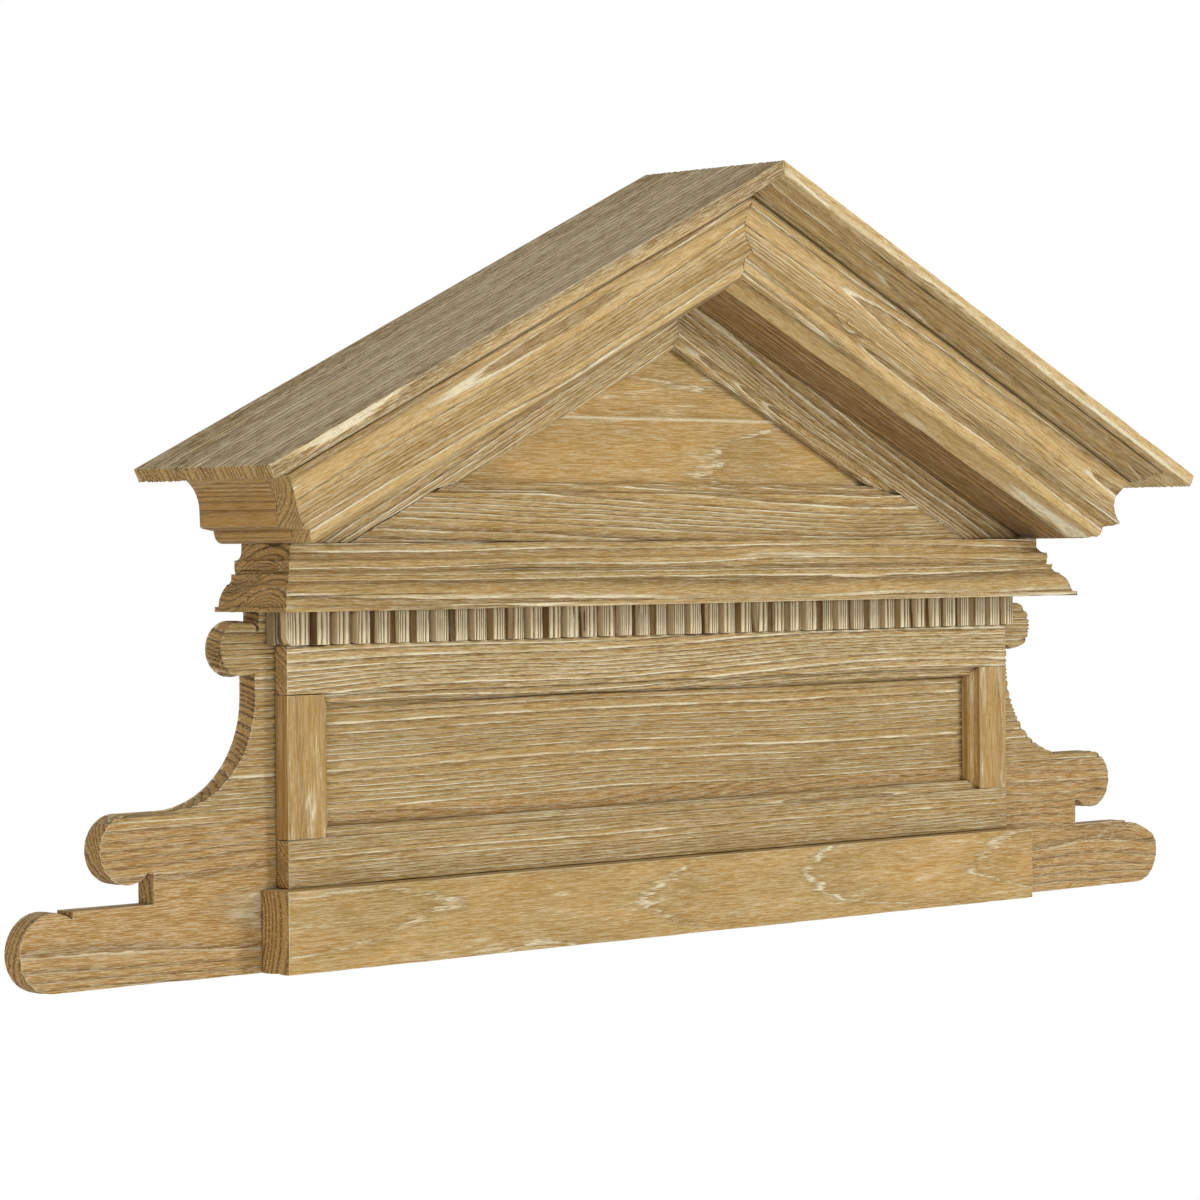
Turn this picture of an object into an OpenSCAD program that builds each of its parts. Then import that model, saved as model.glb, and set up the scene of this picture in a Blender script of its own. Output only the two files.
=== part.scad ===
// Wall-hung wooden pediment: a scroll-winged back board with a framed frieze,
// a dentil strip and bed mouldings, under a gabled roof with a raking crown.
// X runs along the wall, Z up, and the front faces -Y. The back lies on Y = 0.
// Depths are distances out from the wall. Drops are measured square to the
// roof's upper face, downwards.

/* [Back board] */
// Thickness of the back board
back_t = 22; // [18:0.5:26]
// Height of the glue line between the two planks
back_joint_h = 138; // [130:1:140]
// Width of the neck under the bed mouldings
neck_w = 1000; // [840:1:1200]
// How far the edges above the coves stand out past the neck
cove_edge_out = 5; // [2:0.5:20]
// Radius of the cove between the top and middle scrolls
cove_r = 94; // [80:1:105]
// How far past the neck the notches under the middle scrolls end
notch_out = 117; // [113:1:122]

/* [Scrolls] */
// Radius of the top scroll
top_scroll_r = 24.5; // [20:0.5:25]
// How far the top scroll's centre lies out past the neck
top_scroll_out = 18; // [14:0.5:24]
// Height of the top scroll's centre
top_scroll_h = 282; // [280:0.5:286]
// Radius of the middle scroll
mid_scroll_r = 30; // [27:0.5:31.5]
// How far the middle scroll's centre lies out past the neck
mid_scroll_out = 143.5; // [141:0.5:146]
// Height of the middle scroll's centre
mid_scroll_h = 115.5; // [112:0.5:118]
// Radius of the bottom scroll
low_scroll_r = 34; // [30:0.5:36]
// How far the bottom scroll's centre lies out past the neck
low_scroll_out = 222; // [190:1:280]
// How far the bottom scroll's quirk lies in from its centre
quirk_in = 20; // [12:0.5:24]

/* [Plinth] */
// How far the plinth board stands out past the neck
plinth_out = 0; // [-5:1:30]
// Height of the plinth board
plinth_h = 72.5; // [60:0.5:90]
// Depth of the plinth's face from the wall
plinth_d = 59; // [50:0.5:67]

/* [Frieze frame] */
// How far the frame lies in from the neck's edges
frieze_in = 17; // [12:1:30]
// Height of the frieze, from plinth to dentils
frieze_h = 211.5; // [190:0.5:230]
// Thickness of the rails and stiles
frame_t = 17; // [14:0.5:22]
// Face width of the stiles
stile_w = 42.5; // [36:0.5:55]
// Face width of the top rail
top_rail_w = 43; // [36:0.5:55]
// Face width of the bottom rail
bottom_rail_w = 42.5; // [36:0.5:55]
// Width of the moulded edge round each panel
sticking_w = 9; // [7:0.5:12]

/* [Dentils] */
// How far the row of dentils lies in from the neck's edges
dentil_in = 12; // [8:0.5:15]
// How far the strip behind the dentils lies in from the neck's edges
dentil_back_in = 7.5; // [2:0.5:8]
// Height of the dentil strip
dentil_h = 30; // [24:0.5:36]
// Depth of the dentils' faces from the wall
dentil_d = 45; // [43:0.5:50]
// How far a dentil stands out from the strip
dentil_out = 11.5; // [8:0.5:14]
// Width of the gap between two dentils
dentil_gap = 8.2; // [6:0.1:10]
// Distance from one dentil to the next
dentil_pitch = 23.2; // [20:0.1:26]
// Width of the corner dentil where the spacing starts, at the left
first_dentil_w = 26.5; // [20:0.5:30]
// Least width of the corner dentil where it ends, at the right
last_dentil_w = 8; // [6:0.5:12]
// Height of the shadow slot at the foot of each gap
slot_h = 1.6; // [1:0.1:3]
// How far the shadow slot runs back from the gap
slot_in = 3; // [1:0.5:5]

/* [Bed mouldings] */
// How far the bed mouldings' top edge stands out past the neck
bed_top_out = 1; // [0:0.5:6]
// Depth of the bed mouldings' top edge from the wall
bed_top_d = 66.5; // [60:0.5:74]
// Height of the lower bed moulding
bed_low_h = 32.5; // [28:0.5:40]
// Height of the upper bed moulding
bed_up_h = 26.5; // [22:0.5:32]
// How far the foot fillet stands out past the top edge
bed_out = 30; // [28:0.5:34]

/* [Roof] */
// How far the roof's ends stand out past the neck
roof_out = 117.5; // [95:0.5:145]
// How far the roof boards overhang the crown's front
roof_lap = 11.5; // [5:0.5:30]
// Thickness of the roof boards
roof_t = 13; // [10:0.5:16]
// Height of the roof's ends above the bed mouldings
eave_h = 64; // [62:0.5:75]
// Slope of the roof, in degrees
pitch = 25; // [21:0.1:30]

/* [Raking crown and eaves] */
// Drop of the soffit below the roof's upper face
soffit_drop = 105.5; // [100:0.5:110]
// Thickness of the soffit boards
soffit_t = 20; // [15:0.5:24]
// Depth of the crown's back from the wall
crown_back_d = 104.5; // [98:0.5:125]
// Thickness of the crown at the fillet over its hollow
crown_t = 37; // [32:0.5:44]
// How far the hollow is cut in from that fillet
hollow_in = 10; // [7:0.5:12]
// How far the eaves' upright faces lie in from the roof's ends
eave_in = 70.5; // [60:0.5:80]
// Radius of the cove under the roof's ends
eave_cove_r = 32; // [26:0.5:34]
// Thickness of the eave returns at their upright faces
return_t = 40; // [32:0.5:50]

/* [Tympanum] */
// Thickness of the tympanum boards
tymp_t = 28; // [24:0.5:32]
// Thickness of the tympanum rails
tymp_rail_t = 15; // [12:0.5:19]
// Face width of the raking rails
rake_rail_w = 38.5; // [32:0.5:46]
// Face width of the bottom rail
tymp_bottom_rail_w = 45; // [38:0.5:52]
// Height of the glue line between the tympanum boards
tymp_joint_h = 116; // [95:1:150]

/* [Fixing] */
// Height of the fixing point above the underside
fixing_h = 230; // [180:1:260]

/* [Hidden] */

$fn = 96;
big = 2000;
wood = "#BEA472";
brown_wood = "#B08D55";
grey_wood = "#A98F6B";

// Distances from the middle and widths, all set out from the neck
neck_x = neck_w / 2;
cove_edge_x = neck_x + cove_edge_out;
notch_x = neck_x + notch_out;
top_scroll_x = neck_x + top_scroll_out;
mid_scroll_x = neck_x + mid_scroll_out;
low_scroll_x = neck_x + low_scroll_out;
plinth_w = neck_w + 2 * plinth_out;
frieze_w = neck_w - 2 * frieze_in;
dentil_row_w = neck_w - 2 * dentil_in;
dentil_back_w = neck_w - 2 * dentil_back_in;
bed_top_w = neck_w + 2 * bed_top_out;
roof_w = neck_w + 2 * roof_out;
eave_w = roof_w - 2 * eave_in;
return_inner_w = eave_w - 2 * return_t;

// Heights of the courses
frieze_top = plinth_h + frieze_h;
bed_foot = frieze_top + dentil_h;
bed_joint = bed_foot + bed_low_h;
bed_top = bed_joint + bed_up_h;
gable_h = eave_h + roof_w / 2 * tan(pitch);
ridge = bed_top + gable_h;

// Depths of the frame faces
frieze_face_d = back_t + frame_t;
tymp_face_d = tymp_t + tymp_rail_t;
tymp_open_drop = soffit_drop + rake_rail_w;
tymp_rail_top = bed_top + tymp_bottom_rail_w;

// Depths of the crown and roof
crown_fillet_d = crown_back_d + crown_t;
crown_top_out = 29;
roof_d = crown_fillet_d + crown_top_out + roof_lap;

// Height of the line that lies a drop below the roof, at a distance from the middle
function rake_z(x, drop) = ridge - x * tan(pitch) - drop / cos(pitch);
// Distance from the middle where that line reaches a height
function rake_x(z, drop) = (ridge - z - drop / cos(pitch)) / tan(pitch);

// Points of an arc round a centre, from one angle to another
function arc(centre, r, from, to, steps = 8) =
  [for (i = [0 : steps]) let (a = from + (to - from) * i / steps)
    centre + r * [cos(a), sin(a)]];
// Points of a shallow curve from p to q that swells by a rise to its right
function swell(p, q, rise, steps = 6) =
  let (side = [q[1] - p[1], p[0] - q[0]] / norm(q - p))
  [for (i = [0 : steps]) let (t = i / steps)
    p + t * (q - p) + 4 * t * (1 - t) * rise * side];
function turned(points) = [for (i = [len(points) - 1 : -1 : 0]) points[i]];

// ---- placing ----

// Lowers a course-height model so that the fixing point is the origin
module on_wall() translate([0, 0, -fixing_h]) children();

// A section drawn as [depth, height], run along X from one place to another
module run_along_x(from, to)
  translate([to, 0, 0]) rotate([90, 0, -90]) linear_extrude(to - from) children();

// An outline drawn as [x, height], from one depth to another
module slab(from, to)
  translate([0, -from, 0]) rotate([90, 0, 0]) linear_extrude(to - from) children();

// A section drawn as [depth, -drop], run down the right-hand rake
module run_down_rake()
  translate([0, 0, ridge]) rotate([0, pitch, 0]) run_along_x(0, big / 2) children();

module left_hand() mirror([1, 0, 0]) children();

// ---- back board ----

module scroll(x, h, r) translate([x, h]) circle(r);

module wing_outline() {
  scroll_top = mid_scroll_h + mid_scroll_r;
  foot_top = 2 * low_scroll_r;
  // neck, with the top scroll
  square([neck_x, bed_foot]);
  square([cove_edge_x, top_scroll_h]);
  scroll(top_scroll_x, top_scroll_h, top_scroll_r);
  // cove down to the middle scroll
  difference() {
    square([cove_edge_x + cove_r, scroll_top + cove_r]);
    translate([cove_edge_x + cove_r, scroll_top + cove_r]) circle(cove_r);
  }
  square([notch_x, scroll_top]);
  translate([0, notch_top()]) square([mid_scroll_x, scroll_top - notch_top()]);
  scroll(mid_scroll_x, mid_scroll_h, mid_scroll_r);
  // bottom scroll, with its quirk
  square([low_scroll_x - quirk_in, foot_top]);
  scroll(low_scroll_x, low_scroll_r, low_scroll_r);
  square([low_scroll_x, low_scroll_r]);
}

// The notch stops where the scroll has closed on its inner end
notch_end_w = 6;
function notch_top() =
  let (reach = mid_scroll_x - notch_x - notch_end_w)
  mid_scroll_h - sqrt(pow(mid_scroll_r, 2) - pow(reach, 2));

module back_plank(from, to)
  color(wood) on_wall() slab(0, back_t)
    intersection() {
      union() {
        wing_outline();
        mirror([1, 0]) wing_outline();
      }
      translate([-big / 2, from]) square([big, to - from]);
    }

module back_board_lower() back_plank(0, back_joint_h);
module back_board_upper() back_plank(back_joint_h, bed_foot);

// ---- plinth ----

module plinth_board()
  color(brown_wood) on_wall() slab(back_t, plinth_d)
    translate([-plinth_w / 2, 0]) square([plinth_w, plinth_h]);

// ---- framed panels ----

// The moulded edge as [distance into the opening, drop from the face]:
// a fillet, a hollow, a second fillet and the wall down to the panel
fillet = 1.4;
function sticking(depth) = let (hollow = sticking_w - 2.4 * fillet) concat(
  [[0, 0], [0, fillet]],
  arc([hollow, fillet], hollow, 180, 90, 6),
  [[sticking_w - fillet, fillet + hollow], [sticking_w - fillet, fillet + hollow + fillet],
   [sticking_w, fillet + hollow + fillet], [sticking_w, depth]]);

// Section of a framing member as [depth, distance across it], moulded edge last
function member(back_d, face_d, width) = concat(
  [[back_d, 0], [face_d, 0]],
  [for (p = sticking(face_d - back_d)) [face_d - p[1], width + p[0]]]);

frieze_open_x = frieze_w / 2 - stile_w;
frieze_open_low = plinth_h + bottom_rail_w;
frieze_open_top = frieze_top - top_rail_w;

// Outline of a frieze rail: its face, and the moulded edge with mitred ends
module frieze_rail_outline(outer, inner, edge)
  polygon([[-frieze_w / 2, outer], [frieze_w / 2, outer], [frieze_w / 2, inner],
    [frieze_open_x, inner], [frieze_open_x - sticking_w, edge],
    [sticking_w - frieze_open_x, edge], [-frieze_open_x, inner], [-frieze_w / 2, inner]]);

module frieze_bottom_rail()
  color(wood) on_wall() intersection() {
    slab(0, frieze_face_d + 1)
      frieze_rail_outline(plinth_h, frieze_open_low, frieze_open_low + sticking_w);
    translate([0, 0, plinth_h]) run_along_x(-big / 2, big / 2)
      polygon(member(back_t, frieze_face_d, bottom_rail_w));
  }

module frieze_top_rail()
  color(wood) on_wall() intersection() {
    slab(0, frieze_face_d + 1)
      frieze_rail_outline(frieze_top, frieze_open_top, frieze_open_top - sticking_w);
    translate([0, 0, frieze_top]) mirror([0, 0, 1]) run_along_x(-big / 2, big / 2)
      polygon(member(back_t, frieze_face_d, top_rail_w));
  }

module frieze_stile()
  on_wall() intersection() {
    slab(0, frieze_face_d + 1)
      polygon([[frieze_w / 2, frieze_open_low], [frieze_open_x, frieze_open_low],
        [frieze_open_x - sticking_w, frieze_open_low + sticking_w],
        [frieze_open_x - sticking_w, frieze_open_top - sticking_w],
        [frieze_open_x, frieze_open_top], [frieze_w / 2, frieze_open_top]]);
    linear_extrude(big)
      polygon([for (p = member(back_t, frieze_face_d, stile_w)) [frieze_w / 2 - p[1], -p[0]]]);
  }

module frieze_right_stile() color(wood) frieze_stile();
module frieze_left_stile() color(wood) left_hand() frieze_stile();

// ---- dentils ----

// Gaps are spaced off from the left, and the last dentil takes what is left.
// They are cut back to the face of the strip, which runs on past the corners.
first_gap_x = first_dentil_w - dentil_row_w / 2;
dentil_gaps = 1 + floor(
  (dentil_row_w - first_dentil_w - dentil_gap - last_dentil_w) / dentil_pitch);

module dentil_strip()
  color(wood) on_wall() translate([0, 0, frieze_top]) difference() {
    union() {
      slab(back_t, dentil_d - dentil_out)
        translate([-dentil_back_w / 2, 0]) square([dentil_back_w, dentil_h]);
      slab(back_t, dentil_d)
        translate([-dentil_row_w / 2, 0]) square([dentil_row_w, dentil_h]);
    }
    for (i = [0 : dentil_gaps - 1]) translate([first_gap_x + i * dentil_pitch, 0]) {
      slab(dentil_d - dentil_out, dentil_d + 1)
        translate([0, -1]) square([dentil_gap, dentil_h + 2]);
      slab(dentil_d - dentil_out - slot_in, dentil_d)
        translate([0, -1]) square([dentil_gap, slot_h + 1]);
    }
  }

// ---- bed mouldings ----

// Profiles as [distance out past the top edge, height above the piece's foot]
function bed_low_profile() = let (
    fillet_h = 4.5, ovolo_out = bed_out - 4, ovolo_in = 17.5, hollow_out = 16.5,
    neck_out = 11.5, neck_h = 4, hollow_h = 5, rim_h = 1.5, ovolo_swell = 2,
    ovolo_top = bed_low_h - neck_h - hollow_h - rim_h)
  concat(
    [[bed_out, 0], [bed_out, fillet_h]],
    swell([ovolo_out, fillet_h], [ovolo_in, ovolo_top], ovolo_swell),
    [for (a = [0 : 15 : 90])
      [neck_out + (hollow_out - neck_out) * (1 - sin(a)),
       bed_low_h - neck_h - hollow_h * cos(a)]],
    [[neck_out, bed_low_h]]);

function bed_up_profile() = let (bead_out = 7, bead_h = 10, foot_h = 2, cove_h = 8)
  concat(
    [[bead_out, 0], [bead_out, foot_h]],
    [for (a = [0 : 30 : 180])
      [bead_out + 0.9 * sin(a), foot_h + bead_h * (1 - cos(a)) / 2]],
    [for (a = [0 : 15 : 90])
      [(bead_out - 1) * (1 - sin(a)), foot_h + bead_h + cove_h * (1 - cos(a))]],
    [[0, bed_up_h]]);

// A board whose front and two ends all carry the same profile
module returned_board(profile, height)
  intersection() {
    run_along_x(-big / 2, big / 2)
      polygon(concat([[0, 0]], [for (p = profile) [bed_top_d + p[0], p[1]]], [[0, height]]));
    slab(0, big / 2)
      polygon(concat(
        [for (p = profile) [bed_top_w / 2 + p[0], p[1]]],
        turned([for (p = profile) [-bed_top_w / 2 - p[0], p[1]]])));
  }

module bed_moulding_lower()
  color(wood) on_wall() translate([0, 0, bed_foot]) returned_board(bed_low_profile(), bed_low_h);

module bed_moulding_upper()
  color(wood) on_wall() translate([0, 0, bed_joint]) returned_board(bed_up_profile(), bed_up_h);

// ---- tympanum ----

// Everything under the roof boards, out to a distance on each side
module gable_outline(half_w)
  polygon([[-half_w, bed_top], [half_w, bed_top], [half_w, rake_z(half_w, roof_t)],
    [0, rake_z(0, roof_t)], [-half_w, rake_z(half_w, roof_t)]]);

module tympanum_board(from, to)
  color(wood) on_wall() slab(0, tymp_t) intersection() {
    gable_outline(return_inner_w / 2);
    translate([-big / 2, from]) square([big, to - from]);
  }

module tympanum_board_lower() tympanum_board(bed_top, bed_top + tymp_joint_h);
module tympanum_board_upper() tympanum_board(bed_top + tymp_joint_h, ridge);

// Corners where the raking rail's edges meet the bottom rail's
tymp_edge_drop = tymp_open_drop + sticking_w;
tymp_edge_z = tymp_rail_top + sticking_w;
tymp_corner = [rake_x(tymp_rail_top, tymp_open_drop), tymp_rail_top];
tymp_edge_corner = [rake_x(tymp_edge_z, tymp_edge_drop), tymp_edge_z];

module raking_rail()
  on_wall() intersection() {
    slab(0, tymp_face_d + 1)
      polygon([[0, rake_z(0, soffit_drop)], [rake_x(bed_top, soffit_drop), bed_top],
        [rake_x(bed_top, tymp_open_drop), bed_top], tymp_corner, tymp_edge_corner,
        [0, rake_z(0, tymp_edge_drop)]]);
    run_down_rake()
      polygon([for (p = member(tymp_t, tymp_face_d, rake_rail_w)) [p[0], -soffit_drop - p[1]]]);
    right_of_middle(return_inner_w / 2, 0, tymp_face_d + 1);
  }

module tympanum_right_rail() color(wood) raking_rail();
module tympanum_left_rail() color(wood) left_hand() raking_rail();

module tympanum_bottom_rail()
  color(wood) on_wall() intersection() {
    slab(0, tymp_face_d + 1) {
      foot_x = rake_x(bed_top, tymp_open_drop);
      polygon([[-foot_x, bed_top], [foot_x, bed_top], tymp_corner, tymp_edge_corner,
        [-tymp_edge_corner[0], tymp_edge_corner[1]], [-tymp_corner[0], tymp_corner[1]]]);
    }
    translate([0, 0, bed_top]) run_along_x(-big / 2, big / 2)
      polygon(member(tymp_t, tymp_face_d, tymp_bottom_rail_w));
  }

// ---- soffit, eaves and raking crown ----

module right_of_middle(half_w, from, to)
  slab(from, to) translate([0, bed_top]) square([half_w, gable_h + 1]);

module soffit_board()
  on_wall() intersection() {
    run_down_rake() translate([tymp_t, -soffit_drop]) square([crown_back_d - tymp_t, soffit_t]);
    right_of_middle(return_inner_w / 2, 0, roof_d);
  }

module right_soffit_board() color(brown_wood) soffit_board();
module left_soffit_board() color(brown_wood) left_hand() soffit_board();

// The eave seen end on: an ovolo, a quirk, an upright face and a cove.
// Steps are [distance in from the upright face, height above the foot].
function eave_profile() = let (
    face_x = eave_w / 2, quirk_h = 11.5, step_in = 3.5, nose_in = 15.5,
    foot_in = 25, face_h = 28)
  concat(
    [[face_x - foot_in, bed_top]],
    [for (a = [-90 : 15 : 0])
      [face_x - foot_in + (foot_in - nose_in) * cos(a),
       bed_top + (quirk_h - 0.5) * (1 + sin(a))]],
    [[face_x - step_in, bed_top + quirk_h + 1.5], [face_x - 0.5, bed_top + quirk_h + 3]],
    turned(arc([face_x + eave_cove_r, bed_top + face_h], eave_cove_r, 90, 180, 10)),
    [[face_x + eave_cove_r, ridge]]);

module eave_outline() polygon(concat([[0, ridge], [0, bed_top]], eave_profile()));

module eave_return()
  on_wall() slab(0, crown_back_d) intersection() {
    eave_outline();
    gable_outline(roof_w);
    translate([return_inner_w / 2, 0]) square(big);
  }

module right_eave_return() color(brown_wood) eave_return();
module left_eave_return() color(brown_wood) left_hand() eave_return();

// The raking crown's section as [depth, drop]: stepped fillets under the
// roof, a hollow with a lip, a nose and a sloping soffit edge
function crown_section() = let (
    d = crown_fillet_d, top = roof_t, low = soffit_drop,
    hollow_top = 34, lip = 74,
    half = (lip - hollow_top) / 2, rise = hollow_in - 1,
    r = (half * half + rise * rise) / (2 * rise), swing = asin(half / r))
  concat(
    [[crown_back_d, low], [crown_back_d, top], [d + crown_top_out, top], [d + crown_top_out, top + 1.6],
     [d + 16.5, top + 1.9], [d + 16.5, top + 3.6], [d + 7.5, top + 4.6],
     [d + 7.5, top + 10], [d + 2.5, top + 10.4], [d + 2.5, top + 13.6], [d - 3, top + 14.4]],
    [for (a = [0 : 22.5 : 90]) [d - 3 + 3 * sin(a), 31.5 - 4 * cos(a)]],
    [[d, hollow_top - 1]],
    [for (i = [0 : 10]) let (a = -swing + 2 * swing * i / 10)
      [d - hollow_in + (r - r * cos(a)), (hollow_top + lip) / 2 + r * sin(a)]],
    [[d - 1, lip + 1.6], [d - 6, lip + 2.4], [d - 7, lip + 5.4], [d - 12, lip + 6.2]],
    [for (a = [0 : 15 : 90])
      [d - 18 + 6 * cos(a), lip + 10 + 12 * sin(a)]],
    [[d - 21, lip + 22.4], [d - 28, lip + 26]]);

module raking_crown()
  on_wall() intersection() {
    run_down_rake() polygon([for (p = crown_section()) [p[0], -p[1]]]);
    slab(0, roof_d) eave_outline();
  }

module right_raking_crown() color(wood) raking_crown();
module left_raking_crown() color(wood) left_hand() raking_crown();

// ---- roof ----

// Each board is mitred at the ridge and cut square at the eaves
module roof_board()
  on_wall() slab(0, roof_d)
    polygon([[0, ridge], [roof_w / 2, rake_z(roof_w / 2, 0)],
      [roof_w / 2 - roof_t * sin(pitch), rake_z(roof_w / 2, 0) - roof_t * cos(pitch)],
      [0, rake_z(0, roof_t)]]);

module right_roof_board() color(grey_wood) roof_board();
module left_roof_board() color(grey_wood) left_hand() roof_board();

back_board_lower();
back_board_upper();
plinth_board();
frieze_top_rail();
frieze_bottom_rail();
frieze_left_stile();
frieze_right_stile();
dentil_strip();
bed_moulding_lower();
bed_moulding_upper();
tympanum_board_lower();
tympanum_board_upper();
tympanum_left_rail();
tympanum_right_rail();
tympanum_bottom_rail();
left_soffit_board();
right_soffit_board();
left_eave_return();
right_eave_return();
left_raking_crown();
right_raking_crown();
left_roof_board();
right_roof_board();
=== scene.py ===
"""Looks of a wall-hung wooden pediment: brushed, limed softwood boards round a fixed CAD frame."""

import math

import bmesh
import bpy
import numpy as np
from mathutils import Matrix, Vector


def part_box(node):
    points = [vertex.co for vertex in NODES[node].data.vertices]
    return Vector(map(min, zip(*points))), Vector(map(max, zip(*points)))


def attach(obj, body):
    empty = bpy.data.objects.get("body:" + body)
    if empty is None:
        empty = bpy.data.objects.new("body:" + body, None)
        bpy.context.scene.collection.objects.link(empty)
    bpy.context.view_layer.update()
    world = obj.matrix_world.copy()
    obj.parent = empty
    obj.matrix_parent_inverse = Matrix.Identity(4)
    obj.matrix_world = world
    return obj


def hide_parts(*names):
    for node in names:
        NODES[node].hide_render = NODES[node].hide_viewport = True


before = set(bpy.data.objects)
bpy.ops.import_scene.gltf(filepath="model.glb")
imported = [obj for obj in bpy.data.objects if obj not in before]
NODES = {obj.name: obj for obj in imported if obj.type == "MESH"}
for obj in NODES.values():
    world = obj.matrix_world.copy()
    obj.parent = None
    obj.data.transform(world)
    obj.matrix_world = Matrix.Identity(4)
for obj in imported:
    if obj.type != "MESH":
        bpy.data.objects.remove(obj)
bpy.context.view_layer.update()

bl_info = {
    "name": "Wall pediment",
    "version": (1, 0, 0),
    "blender": (4, 5, 0),
    "location": "View3D > Sidebar > Pediment",
    "description": "Brushed and limed softwood boards for a wall-hung pediment",
    "category": "Object",
}

MM = 0.001
MERGED = 2e-6  # metres: points closer than this are one point
TIGHT = 0.05 * MM  # how near to a glue line a point counts as on it
WALL_SKIN = 0.5 * MM  # faces this near the wall stay flat
RECESS_SHADE = 0.65  # painted shade: how dark the bottom of a groove between dentils is painted


# ---- settings a user would change ----


def colour_setting(name, description, hexed):
    return bpy.props.FloatVectorProperty(
        name=name,
        description=description,
        subtype="COLOR",
        size=3,
        min=0,
        max=1,
        default=linear(hexed),
    )


def linear(hexed):
    """The linear red, green and blue of an sRGB hex colour."""
    parts = [int(hexed[i : i + 2], 16) / 255 for i in (1, 3, 5)]
    return tuple(p / 12.92 if p <= 0.04045 else ((p + 0.055) / 1.055) ** 2.4 for p in parts)


class PedimentColours(bpy.types.PropertyGroup):
    earlywood: colour_setting("Earlywood", "Soft wood between the rings", "#A38346")
    latewood: colour_setting("Latewood", "Hard lines of the rings", "#664920")
    amber: colour_setting("Amber", "Warm patches of resin-rich wood", "#B08947")
    golden: colour_setting("Golden", "Lighter boards of the crown", "#C5A364")
    lime: colour_setting("Lime", "Limewash left in the brushed grain", "#E0D6B6")
    # The bare-wood tint also darkens side faces and soffit undersides, partly as painted shade.
    shade: colour_setting("Bare wood", "Ends and undersides that took little lime", "#A17737")
    weathered: colour_setting("Greyed wood", "Greyed upper faces of the roof", "#C2AB80")


class PedimentSizes(bpy.types.PropertyGroup):
    edge_wear: bpy.props.FloatProperty(
        name="Edge wear",
        description="Width of the rubbed edge on each board",
        unit="LENGTH",
        default=0.0007,
        min=0.0002,
        max=0.003,
    )
    cell_across: bpy.props.FloatProperty(
        name="Relief step across",
        description="Spacing of the mesh across the grain",
        unit="LENGTH",
        default=0.0014,
        min=0.0008,
        max=0.01,
    )
    cell_along: bpy.props.FloatProperty(
        name="Relief step along",
        description="Spacing of the mesh along the grain",
        unit="LENGTH",
        default=0.014,
        min=0.004,
        max=0.1,
    )
    deep_brushing: bpy.props.FloatProperty(
        name="Deep brushing",
        description="How far the soft wood is brushed out of coarse boards",
        unit="LENGTH",
        default=0.0022,
        min=0,
        max=0.003,
    )
    fine_brushing: bpy.props.FloatProperty(
        name="Fine brushing",
        description="How far the soft wood is brushed out of fine boards",
        unit="LENGTH",
        default=0.0006,
        min=0,
        max=0.002,
    )


class PedimentStage(bpy.types.PropertyGroup):
    floor_drop: bpy.props.FloatProperty(
        name="Floor drop",
        description="Depth of the floor below the fixing point",
        unit="LENGTH",
        default=2.2,
    )
    lens: bpy.props.FloatProperty(
        name="Lens",
        description="Focal length of the camera",
        unit="CAMERA",
        default=117.34,
    )
    key_power: bpy.props.FloatProperty(
        name="Key light",
        description="Power of the large lamp at the upper right",
        unit="POWER",
        default=110,
    )
    fill_power: bpy.props.FloatProperty(
        name="Fill light",
        description="Power of the large lamp at the left",
        unit="POWER",
        default=210,
    )
    daylight: bpy.props.FloatProperty(
        name="Daylight",
        description="Strength of the even light from all round",
        default=0.66,
    )


# ---- growth rings ----


class Unevenness:
    """Smooth numbers from 0 to 1 that vary through space, the same on every run.

    It is called with one to three coordinates, in units of the size of its bumps.
    """

    def __init__(self, seed):
        self.table = np.random.default_rng(seed).random((32, 32, 32))

    def __call__(self, *points):
        grid = np.stack([np.asarray(p, float) + 7.3 for p in np.broadcast_arrays(*points)], -1)
        if grid.shape[-1] < 3:
            spare = np.full(grid.shape[:-1] + (3 - grid.shape[-1],), 0.37)
            grid = np.concatenate([grid, spare], -1)
        cell = np.floor(grid).astype(int)
        t = grid - cell
        t = t * t * (3 - 2 * t)
        total = np.zeros(grid.shape[:-1])
        for i in (0, 1):
            for j in (0, 1):
                for k in (0, 1):
                    share = (
                        (t[..., 0] if i else 1 - t[..., 0])
                        * (t[..., 1] if j else 1 - t[..., 1])
                        * (t[..., 2] if k else 1 - t[..., 2])
                    )
                    total += share * self.table[
                        (cell[..., 0] + i) % 32, (cell[..., 1] + j) % 32, (cell[..., 2] + k) % 32
                    ]
        return total


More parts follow.
